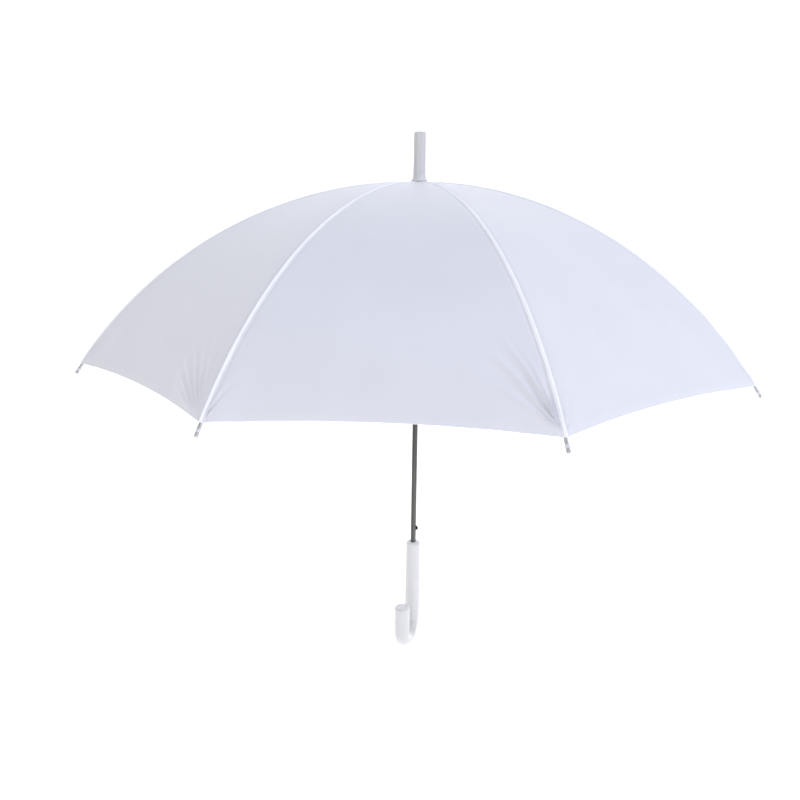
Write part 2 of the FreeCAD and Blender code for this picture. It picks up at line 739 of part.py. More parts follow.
def rounded_leg():
    """The crook's short leg, with its free end rounded over."""
    leg = cylinder(
        "crook_leg_bar", dim["grip_foot_radius"], dim["crook_leg"],
        (0, -2 * DIMENSIONS["crook_arc"], -DIMENSIONS["grip_length"] / 2),
    )
    doc.recompute()
    edges = leg.Shape.Edges
    top = max(range(len(edges)), key=lambda n: edges[n].CenterOfMass.z)
    rounded = doc.addObject("Part::Fillet", "crook_leg_rounded")  # its edges take no expression
    rounded.Base = leg
    size = DIMENSIONS["crook_round"]
    rounded.Edges = [(top + 1, size, size)]
    return rounded


def make_handle():
    low = -DIMENSIONS["grip_length"] / 2
    foot, top, bevel = dim["grip_foot_radius"], dim["grip_top_radius"], dim["grip_bevel"]
    grip = cone("grip", foot, top, dim["grip_length"] - bevel, (0, 0, low))
    bevel_foot = -low - DIMENSIONS["grip_bevel"]
    shoulder = cone("grip_shoulder", top, top - bevel, bevel, (0, 0, bevel_foot))
    bend = bind(
        doc.addObject("Part::Torus", "crook_bend"),
        Radius1=dim["crook_arc"], Radius2=dim["grip_foot_radius"], Angle3=180.0,
    )
    upright = Rotation(FreeCAD.Matrix(0, 0, -1, 0, 1, 0, 0, 0, 0, -1, 0, 0, 0, 0, 0, 1))
    place(bend, (0, -DIMENSIONS["crook_arc"], low), upright)
    solid = fuse("handle_solid", [grip, shoulder, bend, rounded_leg()])
    place(solid, rotation=Rotation(Vector(0, 0, 1), DIMENSIONS["crook_turn"]))
    bore_foot = DIMENSIONS["shaft_foot"] - DIMENSIONS["socket_gap"]
    bore = cylinder("handle_bore", dim["grip_bore"], dim["grip_length"] / 2, (0, 0, bore_foot))
    return cut("handle", solid, fuse("handle_tools", [bore, *pin_holes("handle", ["handle_pin"])]))


# ------------------------------------------------------------------ assembly

def make_all():
    made = [make_shaft(), make_pins(), make_crown(), make_runner(), *make_wires()]
    for name, height in catch_heights().items():
        made.append(make_catch(name, height, flat_side_up=name == "top_catch"))
    for n in range(1, RIB_COUNT + 1):
        made += [make_rib(n), make_tip(n), make_joint(n), make_stretcher(n)]
        made += [make_half_gore(n, 1), make_half_gore(n, -1)]
    made += [make_washer(), make_ferrule(), make_handle()]
    return made


def check(pieces):
    """Stops if anything failed to build."""
    for item in doc.Objects:
        if {"Invalid", "Error"} & set(item.State):
            raise RuntimeError(f"{item.Name} failed: {item.State}")
    for piece in pieces:
        if piece.Shape.isNull() or not piece.Shape.isValid() or not piece.Shape.Solids:
            raise RuntimeError(f"{piece.Label} has no valid solid")


pieces = make_all()
doc.recompute()
check(pieces)
os.makedirs("parts", exist_ok=True)
for piece in pieces:
    piece.Label = piece.Name
    piece.Shape.exportStep(f"parts/{piece.Label}.step")
    print(piece.Label, len(piece.Shape.Solids), round(piece.Shape.Volume, 1))
print("fold", round(FOLD, 3), "link", round(LINK_LENGTH, 3))
print("ring", round(RING_HEIGHT, 3), "closed ring", round(CLOSED_RING_HEIGHT, 3))
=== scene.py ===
import json
import math

import bpy
from mathutils import Matrix, Vector, noise


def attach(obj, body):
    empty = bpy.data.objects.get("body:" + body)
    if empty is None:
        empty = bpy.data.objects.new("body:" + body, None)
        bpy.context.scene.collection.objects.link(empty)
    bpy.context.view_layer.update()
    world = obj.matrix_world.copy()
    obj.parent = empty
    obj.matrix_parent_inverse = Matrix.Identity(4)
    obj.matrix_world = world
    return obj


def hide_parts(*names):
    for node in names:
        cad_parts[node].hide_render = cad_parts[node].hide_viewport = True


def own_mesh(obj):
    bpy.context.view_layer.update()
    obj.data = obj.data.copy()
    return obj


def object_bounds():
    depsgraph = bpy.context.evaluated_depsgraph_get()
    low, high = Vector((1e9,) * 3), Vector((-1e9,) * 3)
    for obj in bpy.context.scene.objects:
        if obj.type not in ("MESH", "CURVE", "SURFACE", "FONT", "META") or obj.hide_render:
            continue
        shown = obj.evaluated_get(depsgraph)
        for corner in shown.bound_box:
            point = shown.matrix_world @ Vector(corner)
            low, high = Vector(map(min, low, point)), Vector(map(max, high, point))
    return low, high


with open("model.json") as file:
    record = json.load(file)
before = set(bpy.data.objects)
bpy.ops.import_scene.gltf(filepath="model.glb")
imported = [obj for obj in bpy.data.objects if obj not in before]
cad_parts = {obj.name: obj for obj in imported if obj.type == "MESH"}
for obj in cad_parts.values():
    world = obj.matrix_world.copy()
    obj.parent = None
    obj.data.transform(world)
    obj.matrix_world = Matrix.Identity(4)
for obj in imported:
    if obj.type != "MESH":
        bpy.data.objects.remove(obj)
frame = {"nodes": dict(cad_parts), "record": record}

CAD_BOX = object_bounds()
RIB_COUNT = 8
RIBS = range(1, RIB_COUNT + 1)
HALF_STEP = math.radians(22.5)
SIDES = {"left": 1, "right": -1}

# Lengths are in metres and slopes in radians, unless a line says otherwise.

# Rib: an arc, level at the crown
RIB_ARC = 0.5918
RIB_END = math.radians(55.6)

# Cloth: how far it lies above the rib's arc, and where it starts and ends
CLOTH_LIFT = 0.0028
CLOTH_THICK = 0.0004
CORNER_RADIUS = 0.4963
MIDDLE_RADIUS = 0.4535
TOP_HOLE = 0.0102
CLOTH_SAG = 0.004
HEM_PASSES = 12
AREA_SLICES = 40

# Seam, which fades out towards the top, where the gore's width or radius is under NARROW
SEAM_WIDTH = 0.0034
SEAM_HEIGHT = 0.0011
SEAM_UNEVEN = 0.3
SEAM_UNEVEN_RATE = 45
SEAM_TURN = 0.5
NARROW = 0.03

# Groove and puckers beside the seam
GROOVE = 0.0008
GROOVE_PLACE = 0.0048
GROOVE_WIDTH = 0.0015
PUCKER = 0.0006
PUCKER_PLACE = 0.006
PUCKER_SPREAD = 0.00003
PUCKER_EDGE = 0.004
PUCKER_RATE = 70

# Hem, and how it flutters
HEM_WIDTH = 0.009
HEM_THICK = 0.0011
HEM_ROUND = 0.2
HEM_FLUTTER = 0.0013
FLUTTER_RATE = 42
FLUTTER_SEED = 5
FLUTTER_FADE = 0.018
FLUTTER_EDGE = 0.02
FLUTTER_MIDDLE = 0.2

# Rows and columns of a half gore's mesh
COARSE_ROWS = 48
FINE_ROWS = 60
FINE_STRETCH = 0.14
LAST_ROW = 0.0012
SEAM_COLUMNS = (0, 0.0008, 0.0018, 0.0027, 0.0034, 0.0043, 0.0053, 0.0066)
TINY = 1e-6

# Strip with close columns beside the seam: its width at the hem, the columns in it and beyond it
UPRIGHT_STRIP = (0.11, 60, 12)
FOLDED_STRIP = (0.06, 36, 14)
PLAIN_STRIP = (0.06, 12, 10)

# How far the rib's straight line is set in from its pivot
RIB_INSET = 0.0018

# Folds that run out of a corner: angle from the seam, height, half width in degrees, length
STRONG_FOLDS = (
    (5.5, -0.0018, 2.4, 0.10), (11, 0.0044, 1.7, 0.12), (17, 0.0056, 1.9, 0.14),
    (23, -0.0012, 2.2, 0.12), (29, 0.0048, 2.6, 0.14), (44, 0.0036, 3.6, 0.10),
)
UPRIGHT_FOLDS = (
    (24, 0.0018, 3.0, 0.12), (36, 0.0030, 2.6, 0.13), (46, 0.0040, 2.6, 0.14),
    (56, 0.0042, 2.8, 0.15), (65, 0.0046, 2.6, 0.15), (73, 0.0030, 2.6, 0.13),
)
SHORT_FOLDS = (
    (13, 0.0022, 2.6, 0.07), (20, -0.0012, 2.6, 0.06),
    (28, 0.0018, 3.0, 0.06), (38, 0.0008, 4.0, 0.06),
)
SOFT_FOLDS = (
    (9, -0.0008, 3.4, 0.07), (16, 0.0013, 3.2, 0.08),
    (25, -0.0008, 3.4, 0.07), (35, 0.0010, 4.4, 0.07),
)
FOLDS = {
    (6, "right"): STRONG_FOLDS, (5, "right"): UPRIGHT_FOLDS, (6, "left"): SHORT_FOLDS,
    (2, "left"): STRONG_FOLDS, (1, "right"): UPRIGHT_FOLDS, (3, "left"): SHORT_FOLDS,
}
FOLD_START = 0.25
UPRIGHT_START = 0.5
FOLD_POWER = 1.5
FOLD_WANDER = 3.0
FOLD_WANDER_RATE = 22
FOLD_SEED = 3.7
FOLD_EDGE = 0.005
FOLD_MIDDLE = 0.35

# Long soft ripples
RIPPLE = 0.0012
RIPPLE_ACROSS = 30
RIPPLE_DOWN = 4.0
RIPPLE_FADE = 0.2

# Weave and stitches
WEAVE_PITCH = 0.0006
WEAVE_SHARE = 0.12
STITCH_LENGTH = 0.003
STITCH_SHARE = 0.75
STITCH_HALF_WIDTH = 0.00035
SEAM_STITCH = 0.0018
HEM_STITCH = 0.0072
DOUBLED_WIDTH = 0.0014
DOUBLED_UNEVEN = 0.0024
HEM_BRIGHTER = 0.08

# Sewing thread: its radius, its sides and the steps in one turn round a bar
THREAD_RADIUS = 0.0003
THREAD_SIDES = 6
TURN_STEPS = 14
CORNER_WRAP = {"radius": 0.0025, "turns": 5, "spread": 0.0034}
CORNER_WRAP_PLACE = 0.0025
RIB_TIE = {"radius": 0.0019, "turns": 4, "spread": 0.003}
RIB_TIE_LIFT = 0.0005
RIB_TIE_SLOPES = (math.radians(14), math.radians(41))

# Materials
COAT_ROUGHNESS = 0.12
SHEEN_ROUGHNESS = 0.5
RAMP_ENDS = (0.35, 0.65)
MIX_FIRST, MIX_SECOND, MIX_RESULT = 6, 7, 2

# Stage and lights: name, place, size, watts and colour
STAGE_HALF_WIDTH = 6.0
STAGE_FRONT = -5.0
STAGE_BACK = 3.2
STAGE_BEND = 1.2
STAGE_BEND_STEPS = 16
STAGE_HEIGHT = 5.0
STAGE_BELOW = 0.35
SKY_STRENGTH = 0.59
LIGHT_TARGET = (0, 0, 0.5)
LIGHTS = (
    ("key", (2.4, -1.3, 1.5), 1.0, 24.0, (0.74, 0.78, 0.94)),
    ("fill", (-1.2, -2.6, 1.3), 1.4, 8.2, (0.97, 0.9, 0.96)),
    ("top", (0.4, -0.8, 3.4), 1.2, 16.5, (0.5, 0.68, 1.05)),
)

# Camera
CAMERA_AZIMUTH = math.radians(5.8)
CAMERA_TILT = math.radians(14.3)
CAMERA_ROLL = math.radians(0.7)
CAMERA_DISTANCE = 1.279
CAMERA_LENS = 35.8
AIM_RIGHT = -0.025
AIM_HEIGHT = 0.3125
SENSOR_WIDTH = 36.0
CLIP_START = 0.01


# ------------------------------------------------------------------ places taken from the frame

joints = {joint["name"]: joint for joint in frame["record"]["behaviour"]["joints"]}


def fold_joint(rib):
    return joints["canopy_fold" if rib == 1 else f"rib_fold_{rib}"]


class RibPlane:
    """The upright plane of one rib: its directions, pivots and the straight line to its end."""

    def __init__(self, rib):
        joint = fold_joint(rib)
        self.pivot = Vector(joint["pos_m"])
        self.across = Vector(joint["axis"])
        self.up = Vector((0, 0, 1))
        self.out = self.across.cross(self.up)
        self.fold = math.radians(joint["range_deg"][1])
        self.knee = Vector(joints[f"stretcher_fold_{rib}"]["pos_m"])
        self.centre = self.out * self.pivot.dot(self.out) + self.up * (self.pivot.z - RIB_ARC)
        chord = self.on_arc(RIB_END, 0.0) - self.pivot
        self.chord = chord.normalized()
        self.bulge = self.chord.cross(self.across).normalized()
        self.straight_rib = self.pivot - self.bulge * RIB_INSET

    def on_arc(self, slope, lift):
        reach = RIB_ARC + lift
        away = self.out * (reach * math.sin(slope))
        return self.centre + away + self.up * (reach * math.cos(slope))

    def tangent(self, slope):
        return self.out * math.cos(slope) - self.up * math.sin(slope)

    def normal(self, slope):
        return self.out * math.sin(slope) + self.up * math.cos(slope)

    def slope_at(self, radius, lift):
        """Slope of the arc where it is that far from the shaft's axis."""
        return math.asin((radius - self.centre.dot(self.out)) / (RIB_ARC + lift))


PLANES = {rib: RibPlane(rib) for rib in RIBS}


# ------------------------------------------------------------------ materials

def new_material(name, color, roughness, metallic=0.0, coat=0.0, sheen=0.0):
    material = bpy.data.materials.new(name)
    material.use_nodes = True
    shader = material.node_tree.nodes["Principled BSDF"]
    shader.inputs["Base Color"].default_value = (*color, 1.0)
    shader.inputs["Roughness"].default_value = roughness
    shader.inputs["Metallic"].default_value = metallic
    shader.inputs["Coat Weight"].default_value = coat
    shader.inputs["Coat Roughness"].default_value = COAT_ROUGHNESS
    shader.inputs["Sheen Weight"].default_value = sheen
    shader.inputs["Sheen Roughness"].default_value = SHEEN_ROUGHNESS
    return material, material.node_tree, shader


def add_node(tree, kind, **settings):
    node = tree.nodes.new(kind)
    for name, value in settings.items():
        setattr(node, name, value)
    return node


def noise_node(tree, scale, detail, stretch=None):
    """Noise over the object's own coordinates, stretched if asked."""
    source = add_node(tree, "ShaderNodeTexCoord").outputs["Object"]
    if stretch:
        mapping = add_node(tree, "ShaderNodeMapping")
        mapping.inputs["Scale"].default_value = stretch
        tree.links.new(source, mapping.inputs["Vector"])
        source = mapping.outputs["Vector"]
    made = add_node(tree, "ShaderNodeTexNoise")
    made.inputs["Scale"].default_value = scale
    made.inputs["Detail"].default_value = detail
    tree.links.new(source, made.inputs["Vector"])
    return made


def vary_color(tree, shader, factor, low, high):
    ramp = add_node(tree, "ShaderNodeValToRGB")
    for element, position, color in zip(ramp.color_ramp.elements, RAMP_ENDS, (low, high)):
        element.position = position
        element.color = (*color, 1.0)
    tree.links.new(factor, ramp.inputs["Fac"])
    tree.links.new(ramp.outputs["Color"], shader.inputs["Base Color"])
    return ramp


def vary_roughness(tree, shader, factor, low, high):
    spread = add_node(tree, "ShaderNodeMapRange")
    spread.inputs["To Min"].default_value = low
    spread.inputs["To Max"].default_value = high
    tree.links.new(factor, spread.inputs["Value"])
    tree.links.new(spread.outputs["Result"], shader.inputs["Roughness"])


def add_bump(tree, shader, height, strength, distance):
    bump = add_node(tree, "ShaderNodeBump")
    bump.inputs["Strength"].default_value = strength
    bump.inputs["Distance"].default_value = distance
    tree.links.new(height, bump.inputs["Height"])
    tree.links.new(bump.outputs["Normal"], shader.inputs["Normal"])


def math_node(tree, operation, first, second=None, third=None):
    node = add_node(tree, "ShaderNodeMath", operation=operation)
    for socket, value in zip(node.inputs, (first, second, third)):
        if value is None:
            continue
        if isinstance(value, (int, float)):
            socket.default_value = value
        else:
            tree.links.new(value, socket)
    return node.outputs["Value"]


def make_cloth():
    """White woven polyester. The UV map holds metres across from the seam and up from the hem."""
    material, tree, shader = new_material(
        "white_cloth", (0.8, 0.82, 0.88), roughness=0.5, sheen=0.25
    )
    shader.inputs["Specular IOR Level"].default_value = 0.4
    places = add_node(tree, "ShaderNodeUVMap", uv_map="metres")
    split = add_node(tree, "ShaderNodeSeparateXYZ")
    tree.links.new(places.outputs["UV"], split.inputs["Vector"])
    across, rise = split.outputs["X"], split.outputs["Y"]

    # fine warp and weft
    rate = 2 * math.pi / WEAVE_PITCH
    warp = math_node(tree, "SINE", math_node(tree, "MULTIPLY", across, rate))
    weft = math_node(tree, "SINE", math_node(tree, "MULTIPLY", rise, rate))
    weave = math_node(tree, "MULTIPLY", warp, weft)

    # lock stitches along the seam and the hem
    def stitches(line, along, offset):
        near = math_node(tree, "ABSOLUTE", math_node(tree, "SUBTRACT", line, offset))
        on_line = math_node(tree, "LESS_THAN", near, STITCH_HALF_WIDTH)
        share = math_node(tree, "FRACT", math_node(tree, "DIVIDE", along, STITCH_LENGTH))
        dash = math_node(tree, "LESS_THAN", share, STITCH_SHARE)
        return math_node(tree, "MULTIPLY", on_line, dash)

    seam_row = stitches(across, rise, SEAM_STITCH)
    hem_row = stitches(rise, across, HEM_STITCH)
    thread_mask = math_node(tree, "MAXIMUM", seam_row, hem_row)

    # doubled cloth at the seam and the hem looks a little whiter
    soft = noise_node(tree, scale=14.0, detail=3.0)
    low, high = (0.752, 0.754, 0.79), (0.768, 0.77, 0.806)
    ramp = vary_color(tree, shader, soft.outputs["Fac"], low, high)
    uneven = noise_node(tree, scale=30.0, detail=2.0)
    band = math_node(tree, "MULTIPLY_ADD", uneven.outputs["Fac"], DOUBLED_UNEVEN, DOUBLED_WIDTH)
    doubled = math_node(tree, "LESS_THAN", across, band)
    hemmed = math_node(tree, "LESS_THAN", rise, HEM_WIDTH)
    hemmed = math_node(tree, "MULTIPLY", hemmed, HEM_BRIGHTER)
    layers = math_node(tree, "MAXIMUM", doubled, hemmed)
    brighter = add_node(tree, "ShaderNodeMix", data_type="RGBA")
    brighter.inputs[MIX_SECOND].default_value = (0.96, 0.97, 1.0, 1.0)
    tree.links.new(layers, brighter.inputs["Factor"])
    tree.links.new(ramp.outputs["Color"], brighter.inputs[MIX_FIRST])
    tree.links.new(brighter.outputs[MIX_RESULT], shader.inputs["Base Color"])
    vary_roughness(tree, shader, soft.outputs["Fac"], low=0.36, high=0.48)

    height = math_node(tree, "ADD", math_node(tree, "MULTIPLY", weave, WEAVE_SHARE), thread_mask)
    add_bump(tree, shader, height, strength=0.5, distance=0.0002)
    return material


def make_white_plastic():
    material, tree, shader = new_material(
        "white_plastic", (0.66, 0.66, 0.66), roughness=0.24, coat=0.25
    )
    mottle = noise_node(tree, scale=9.0, detail=2.0)
    vary_color(tree, shader, mottle.outputs["Fac"], (0.64, 0.64, 0.64), (0.68, 0.68, 0.68))
    vary_roughness(tree, shader, mottle.outputs["Fac"], low=0.17, high=0.27)
    grain = noise_node(tree, scale=900.0, detail=2.0)
    add_bump(tree, shader, grain.outputs["Fac"], strength=0.05, distance=0.0001)
    return material


def make_nylon():
    material, tree, shader = new_material("white_nylon", (0.78, 0.78, 0.79), roughness=0.45)
    grain = noise_node(tree, scale=700.0, detail=3.0)
    vary_color(tree, shader, grain.outputs["Fac"], (0.75, 0.75, 0.76), (0.81, 0.81, 0.82))
    add_bump(tree, shader, grain.outputs["Fac"], strength=0.15, distance=0.0001)
    return material


def make_metal(name, low, high, roughness, spread, stretch):
    """Drawn or rolled steel with fine lines along the draw."""
    material, tree, shader = new_material(name, high, roughness, metallic=1.0)
    lines = noise_node(tree, scale=220.0, detail=4.0, stretch=stretch)
    vary_color(tree, shader, lines.outputs["Fac"], low, high)
    vary_roughness(tree, shader, lines.outputs["Fac"], roughness - spread, roughness + spread)
    add_bump(tree, shader, lines.outputs["Fac"], strength=0.06, distance=0.00008)
    return material


def make_thread():
    material, tree, shader = new_material(
        "white_thread", (0.85, 0.86, 0.9), roughness=0.7, sheen=0.3
    )
    twist = noise_node(tree, scale=1500.0, detail=2.0)
    vary_color(tree, shader, twist.outputs["Fac"], (0.78, 0.79, 0.83), (0.9, 0.91, 0.94))
    add_bump(tree, shader, twist.outputs["Fac"], strength=0.3, distance=0.0001)
    return material


def make_floor_paint():
    material, tree, shader = new_material("studio_white", (0.9, 0.9, 0.9), roughness=0.9)
    shader.inputs["Emission Color"].default_value = (1.0, 1.0, 1.0, 1.0)
    shader.inputs["Emission Strength"].default_value = 0.55
    faint = noise_node(tree, scale=2.0, detail=2.0)
    vary_color(tree, shader, faint.outputs["Fac"], (0.895, 0.895, 0.9), (0.905, 0.905, 0.905))
    return material


cloth = make_cloth()
thread = make_thread()
SLOT_MATERIALS = {
    "white_cloth": cloth,
    "white_plastic": make_white_plastic(),
    "white_nylon": make_nylon(),
}
METALS = (
    ("shaft_steel", (0.075, 0.075, 0.068), (0.15, 0.15, 0.138), 0.32, 0.06, (1, 1, 0.02)),
    ("rib_steel", (0.36, 0.36, 0.38), (0.52, 0.52, 0.54), 0.32, 0.08, (1, 1, 1)),
    ("bright_steel", (0.44, 0.44, 0.44), (0.58, 0.58, 0.58), 0.4, 0.05, (1, 1, 1)),
    ("black_spring", (0.02, 0.02, 0.02), (0.05, 0.05, 0.05), 0.42, 0.05, (1, 1, 0.1)),
)
SLOT_MATERIALS.update({metal[0]: make_metal(*metal) for metal in METALS})


def paint_cad_nodes():
    for part in frame["record"]["subparts"]:
        node = frame["nodes"][part["node"]]
        node.data.materials.clear()
        node.data.materials.append(SLOT_MATERIALS[part["material_slot"]])


# ------------------------------------------------------------------ meshes

def new_object(name, vertices, faces, material, smooth=True):
    mesh = bpy.data.meshes.new(name)
    mesh.from_pydata([tuple(v) for v in vertices], [], faces)
    mesh.update()
    for polygon in mesh.polygons:
        polygon.use_smooth = smooth
    mesh.materials.append(material)
    made = bpy.data.objects.new(name, mesh)
    bpy.context.collection.objects.link(made)
    return made


def ease(value):
    value = min(max(value, 0.0), 1.0)
    return value * value * (3 - 2 * value)


def strip_layout(gore, side):
    """The strip with close columns that a half gore needs for its folds."""
    folds = FOLDS.get((gore, side))
    if folds is UPRIGHT_FOLDS:
        return UPRIGHT_STRIP
    return FOLDED_STRIP if folds else PLAIN_STRIP


def columns(width, layout):
    """Distances across a half gore of that width: close together at the seam and over the folds."""
    near = [step * min(1.0, width / NARROW) for step in SEAM_COLUMNS]
    hem_strip, fine, coarse = layout
    strip = hem_strip * width / (CORNER_RADIUS * math.sin(HALF_STEP))
    middle = [near[-1] + (strip - near[-1]) * (n + 1) / fine for n in range(fine)]
    return near + middle + [strip + (width - strip) * (n + 1) / coarse for n in range(coarse)]


def row_steps(length):
    """Shares of the way down a gore of that length, close together over its last stretch."""
    turn = 1 - FINE_STRETCH / length
    coarse = [turn * n / COARSE_ROWS for n in range(COARSE_ROWS)]
    fine = [turn + (1 - turn) * n / FINE_ROWS for n in range(FINE_ROWS)]
    return coarse + fine + [1 - LAST_ROW / length, 1.0]


def hem_radius(share):
    """Radius of the matching point on the rib's arc, for a share of the way along the hem."""
    half_hem = CORNER_RADIUS * math.sin(HALF_STEP)
    rise = CORNER_RADIUS * math.cos(HALF_STEP) - MIDDLE_RADIUS
    arc = (half_hem**2 + rise**2) / (2 * rise)
    along = MIDDLE_RADIUS
    for _ in range(HEM_PASSES):
        off_middle = along * math.tan(HALF_STEP) * (1 - share)
        along = MIDDLE_RADIUS + arc - math.sqrt(arc**2 - off_middle**2)
    return along / math.cos(HALF_STEP)


def fold_height(gore, side, to_corner, across, width, to_hem):
    """How far the cloth stands off its plain shape: folds from the corner and long soft ripples."""
    reach = math.hypot(to_corner, across)
    turn = math.degrees(math.atan2(across, max(to_corner, TINY)))
    seed = gore * FOLD_SEED + SIDES[side]
    bent = FOLD_WANDER * noise.noise(Vector((reach * FOLD_WANDER_RATE, seed, 0)))
    fan = 0.0
    folds = FOLDS.get((gore, side), SOFT_FOLDS)
    start = UPRIGHT_START if folds is UPRIGHT_FOLDS else FOLD_START
    for angle, tall, wide, long in folds:
        off = abs(turn + bent - angle) / wide
        along = ease(reach / (start * long)) * (1 - ease(reach / long))
        fan += tall * math.exp(-(off**FOLD_POWER)) * along
    to_middle = 1 - across / width
    edges = ease(across / FOLD_EDGE) * ease(to_middle / FOLD_MIDDLE)
    ripple = noise.noise(Vector((across * RIPPLE_ACROSS + seed, to_corner * RIPPLE_DOWN, seed)))
    ripple *= RIPPLE * math.exp(-max(to_corner, 0.0) / RIPPLE_FADE)

    beside = math.exp(-((across - PUCKER_PLACE) ** 2) / PUCKER_SPREAD) * ease(across / PUCKER_EDGE)
    pucker = PUCKER * beside * noise.noise(Vector((to_corner * PUCKER_RATE, seed, 0)))
    groove = math.exp(-(((across - GROOVE_PLACE) / GROOVE_WIDTH) ** 2)) * ease(width / NARROW)
    flutter = noise.noise(Vector((across * FLUTTER_RATE, seed, FLUTTER_SEED)))
    flutter *= math.exp(-to_hem / FLUTTER_FADE)
    flutter *= ease(across / FLUTTER_EDGE) * ease(to_middle / FLUTTER_MIDDLE)
    return edges * (fan + ripple) + pucker - GROOVE * groove + HEM_FLUTTER * flutter


def make_half_gore(gore, side):
    """Half a gore, from the seam on its rib to the gore's middle line, with a turned hem."""
    sign = SIDES[side]
    rib = gore if sign > 0 else gore % RIB_COUNT + 1
    plane = PLANES[rib]
    across_way = plane.across * (sign * math.cos(HALF_STEP)) - plane.out * math.sin(HALF_STEP)
    reach = RIB_ARC + CLOTH_LIFT
    start = plane.slope_at(TOP_HOLE, CLOTH_LIFT)
    corner = plane.slope_at(CORNER_RADIUS, CLOTH_LIFT)
    full_width = CORNER_RADIUS * math.sin(HALF_STEP)
    layout = strip_layout(gore, side)
    shares = [distance / full_width for distance in columns(full_width, layout)]
    hem_slopes = [plane.slope_at(hem_radius(share), CLOTH_LIFT) for share in shares]
    outer, inner, uv = [], [], []
    for step in row_steps(reach * (corner - start)):
        for column, (share, hem_slope) in enumerate(zip(shares, hem_slopes)):
            slope = start + (hem_slope - start) * step
            seam_point = plane.on_arc(slope, CLOTH_LIFT)
            radius = seam_point.dot(plane.out)
            width = radius * math.sin(HALF_STEP)
            across = columns(width, layout)[column]
            share_here = across / width
            to_corner = reach * (corner - slope)
            to_hem = reach * (hem_slope - slope)
            cloth_normal = across_way.cross(plane.tangent(slope)).normalized() * -sign
            blend = ease(share_here / SEAM_TURN)
            normal = plane.normal(slope).lerp(cloth_normal, blend).normalized()
            sag = CLOTH_SAG * (radius / CORNER_RADIUS) ** 2 * (1 - (1 - share_here) ** 2)
            bumpy = noise.noise(Vector((to_corner * SEAM_UNEVEN_RATE, rib, sign)))
            seam_width = SEAM_WIDTH * (1 + SEAM_UNEVEN * bumpy)
            seam = SEAM_HEIGHT * (1 - ease(across / seam_width)) * ease(radius / NARROW)
            height = seam - sag + fold_height(gore, side, to_corner, across, width, to_hem)
            point = seam_point + across_way * across + normal * height
            hem = 1 - ease(to_hem / HEM_WIDTH - HEM_ROUND)
            thick = CLOTH_THICK + (HEM_THICK - CLOTH_THICK) * hem
            outer.append(point)
            inner.append(point - normal * thick)
            uv.append((across, to_hem))
    return close_sheet(f"cloth_gore_{gore}_{side}", outer, inner, uv, len(shares), sign)


def close_sheet(name, outer, inner, uv, wide, sign):
    """A closed thin mesh from an outer and an inner grid of points."""
    count = len(outer)
    high = count // wide
    faces = []

    def face(*corners):
        faces.append(corners if sign < 0 else corners[::-1])

    for row in range(high - 1):
        for column in range(wide - 1):
            a = row * wide + column
            b, c, d = a + 1, a + wide + 1, a + wide
            face(a, b, c, d)
            face(a + count, d + count, c + count, b + count)
    rim = list(range(wide))
    rim += [row * wide + wide - 1 for row in range(1, high)]
    rim += [(high - 1) * wide + n for n in range(wide - 2, -1, -1)]
    rim += [row * wide for row in range(high - 2, 0, -1)]
    grid_faces = len(faces)
    for a, b in zip(rim, rim[1:] + rim[:1]):
        face(b, a, a + count, b + count)
    made = new_object(name, outer + inner, faces, cloth)
    for polygon in made.data.polygons[grid_faces:]:
        polygon.use_smooth = False
    border = {tuple(sorted(pair)) for pair in zip(rim, rim[1:] + rim[:1])}
    border |= {(a + count, b + count) for a, b in border}
    for edge in made.data.edges:
        edge.use_edge_sharp = tuple(sorted(edge.vertices)) in border
    layer = made.data.uv_layers.new(name="metres")
    places = uv + uv
    for loop in made.data.loops:
        layer.data[loop.index].uv = places[loop.vertex_index]
    return made


def half_gore_area(plane):
    """Cut area of a half gore: its width grows with the radius, and the hem takes a slice off."""
    reach = RIB_ARC + CLOTH_LIFT
    start = plane.slope_at(TOP_HOLE, CLOTH_LIFT)
    area = 0.0
    for n in range(AREA_SLICES):
        end = plane.slope_at(hem_radius((n + 0.5) / AREA_SLICES), CLOTH_LIFT)
        area += reach**2 * math.sin(HALF_STEP) * (math.cos(start) - math.cos(end)) / AREA_SLICES
    return area


def make_canopy():
    for gore in RIBS:
        for side, sign in SIDES.items():
            rib = gore if sign > 0 else gore % RIB_COUNT + 1
            plane = PLANES[rib]
            piece = make_half_gore(gore, side)
            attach(piece, f"flap_{rib}_{side}")
            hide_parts(f"canopy_gore_{gore}_{side}")
            start = plane.slope_at(TOP_HOLE, CLOTH_LIFT)
            corner = plane.slope_at(CORNER_RADIUS, CLOTH_LIFT)
            half_gore_area(plane)
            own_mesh(piece)


# ------------------------------------------------------------------ ribs, joints and stretchers

def copy_of_node(name, node, material):
    """A new mesh with the node's surface."""
    source = frame["nodes"][node].data
    vertices = [v.co.copy() for v in source.vertices]
    faces = [tuple(p.vertices) for p in source.polygons]
    return new_object(name, vertices, faces, material, smooth=False)


def straighten(piece):
    """Gives the piece a mesh of its own."""
    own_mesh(piece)


def make_frame_pieces():
    for rib in RIBS:
        steel = SLOT_MATERIALS["rib_steel"]
        for node in (f"rib_{rib}", f"rib_joint_{rib}"):
            piece = copy_of_node(f"{node}_spring", node, steel)
            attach(piece, f"rib_{rib}")
            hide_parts(node)
            straighten(piece)
        piece = copy_of_node(f"stretcher_{rib}_bar", f"stretcher_{rib}", steel)
        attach(piece, f"stretcher_{rib}")
        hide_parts(f"stretcher_{rib}")
        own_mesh(piece)


# ------------------------------------------------------------------ sewing

